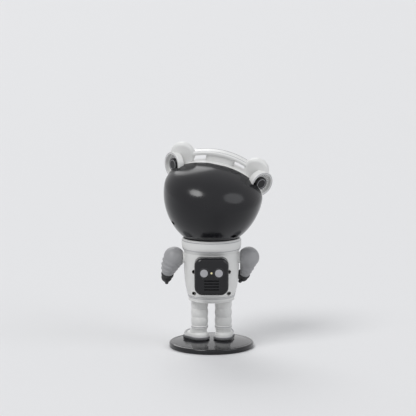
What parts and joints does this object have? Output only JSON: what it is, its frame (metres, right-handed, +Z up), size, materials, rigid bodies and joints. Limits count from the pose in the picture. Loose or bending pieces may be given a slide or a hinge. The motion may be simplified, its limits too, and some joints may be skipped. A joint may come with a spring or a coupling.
{
  "type": "star night light projector",
  "caption": "Small eared astronaut figure on a round base; its head sits in a ball seat, turns and tilts, and projects a moving night sky from the lens in its face.",
  "frame": {"origin": "centre of the non-slip pad's underside, where the object stands on the table", "axes": "+Z up along the figure, the figure's chest and boots face -Y, its left side is +X"},
  "size_m": [0.1286, 0.1132, 0.239],
  "materials": {
    "white_shell": "smooth satin-gloss moulded plastic",
    "graphite_shell": "polished dark moulded plastic",
    "black_base": "polished black moulded plastic",
    "visor_tint": "deep glossy tinted plastic",
    "suit_white": "fine satin moulded plastic",
    "sleeve_grey": "fine satin moulded plastic",
    "glove_black": "soft-touch dark plastic",
    "sole_grey": "moulded sole, fine grain",
    "grip_rubber": "non-slip pad, fine grain",
    "button_grey": "satin push button",
    "inner_plastic": "moulded inner plastic",
    "inner_white": "natural nylon",
    "steel": "zinc-plated steel",
    "aluminium": "extruded aluminium",
    "clear_lens": "clear moulded lens",
    "board_green": "printed board",
    "lamp": "light-emitting diode",
    "brass": "turned brass"
  },
  "bodies": {
    "base": {"base_cover": "black_base", "base_plate": "inner_plastic", "base_pad": "grip_rubber", "base_weight": "steel", "base_screws": "steel", "leg_bolts": "steel", "left_sole": "sole_grey", "right_sole": "sole_grey", "left_boot": "suit_white", "right_boot": "suit_white", "left_leg": "suit_white", "right_leg": "suit_white", "torso_floor": "inner_white", "torso_front": "suit_white", "torso_rear": "suit_white", "torso_screws": "steel", "collar": "suit_white", "neck_bearing": "inner_white", "pack_shell": "graphite_shell", "control_board": "board_green", "usb_inlet": "steel"},
    "turntable": {"neck_turntable": "inner_plastic", "neck_retainer": "steel"},
    "rocker": {"neck_rocker": "steel"},
    "head": {"head_rear": "graphite_shell", "head_front": "white_shell", "head_screws": "steel", "face_bezel": "white_shell", "visor": "visor_tint", "star_window": "clear_lens", "lens_barrel": "inner_plastic", "front_lens": "clear_lens", "chassis": "inner_plastic", "chassis_screws": "steel", "laser_module": "brass", "spindle": "steel", "gear_motor": "steel", "lamp_carrier": "inner_white", "carrier_screws": "steel", "condenser_lens": "clear_lens", "lamp_board": "board_green", "lamp_led": "lamp", "heat_sink": "aluminium", "band": "white_shell", "band_cushion": "white_shell", "left_ear": "white_shell", "right_ear": "white_shell", "left_ear_dish": "white_shell", "right_ear_dish": "white_shell", "ear_bosses": "graphite_shell"},
    "ripple_disc": {"ripple_disc": "clear_lens"},
    "motor_pinion": {"motor_pinion": "inner_white"},
    "arm_left": {"left_sleeve": "sleeve_grey", "left_glove": "glove_black", "left_shoulder_pin": "steel"},
    "arm_right": {"right_sleeve": "sleeve_grey", "right_glove": "glove_black", "right_shoulder_pin": "steel"},
    "button_left": {"button_left": "button_grey"},
    "button_right": {"button_right": "button_grey"}
  },
  "joints": [
    {"name": "neck_turn", "type": "hinge", "parent": "base", "child": "turntable", "pos_m": [0, 0, 0.16944], "axis": [0, 0, 1], "range_deg": [-88, 32]},
    {"name": "head_lean", "type": "hinge", "parent": "turntable", "child": "rocker", "pos_m": [0, 0, 0.16944], "axis": [-0.8796, -0.4756, 0], "range_deg": [-27, 4]},
    {"name": "head_spin", "type": "hinge", "parent": "rocker", "child": "head", "pos_m": [0, 0, 0.16944], "axis": [-0.1446, 0.2674, 0.9527], "range_deg": [-21, 99]},
    {"name": "ripple_turn", "type": "hinge", "parent": "head", "child": "ripple_disc", "pos_m": [-0.01736, -0.00828, 0.17235], "axis": [-0.1981, -0.9511, 0.2369], "continuous": true},
    {"name": "pinion_turn", "type": "hinge", "parent": "head", "child": "motor_pinion", "pos_m": [0.00351, -0.01662, 0.15633], "axis": [-0.1981, -0.9511, 0.2369], "continuous": true},
    {"name": "arm_left_swing", "type": "hinge", "parent": "base", "child": "arm_left", "pos_m": [0.043, 0, 0.105], "axis": [-1, 0, 0], "range_deg": [-40, 100]},
    {"name": "arm_right_swing", "type": "hinge", "parent": "base", "child": "arm_right", "pos_m": [-0.043, 0, 0.105], "axis": [-1, 0, 0], "range_deg": [-5, 90]},
    {"name": "button_left_press", "type": "slide", "parent": "base", "child": "button_left", "axis": [0, -1, 0], "range_m": [0, 0.001], "stiffness_N_per_m": 400},
    {"name": "button_right_press", "type": "slide", "parent": "base", "child": "button_right", "axis": [0, -1, 0], "range_m": [0, 0.001], "stiffness_N_per_m": 400}
  ],
  "couplings": [
    {"joint": "pinion_turn", "follows": "ripple_turn", "ratio": -4}
  ]
}
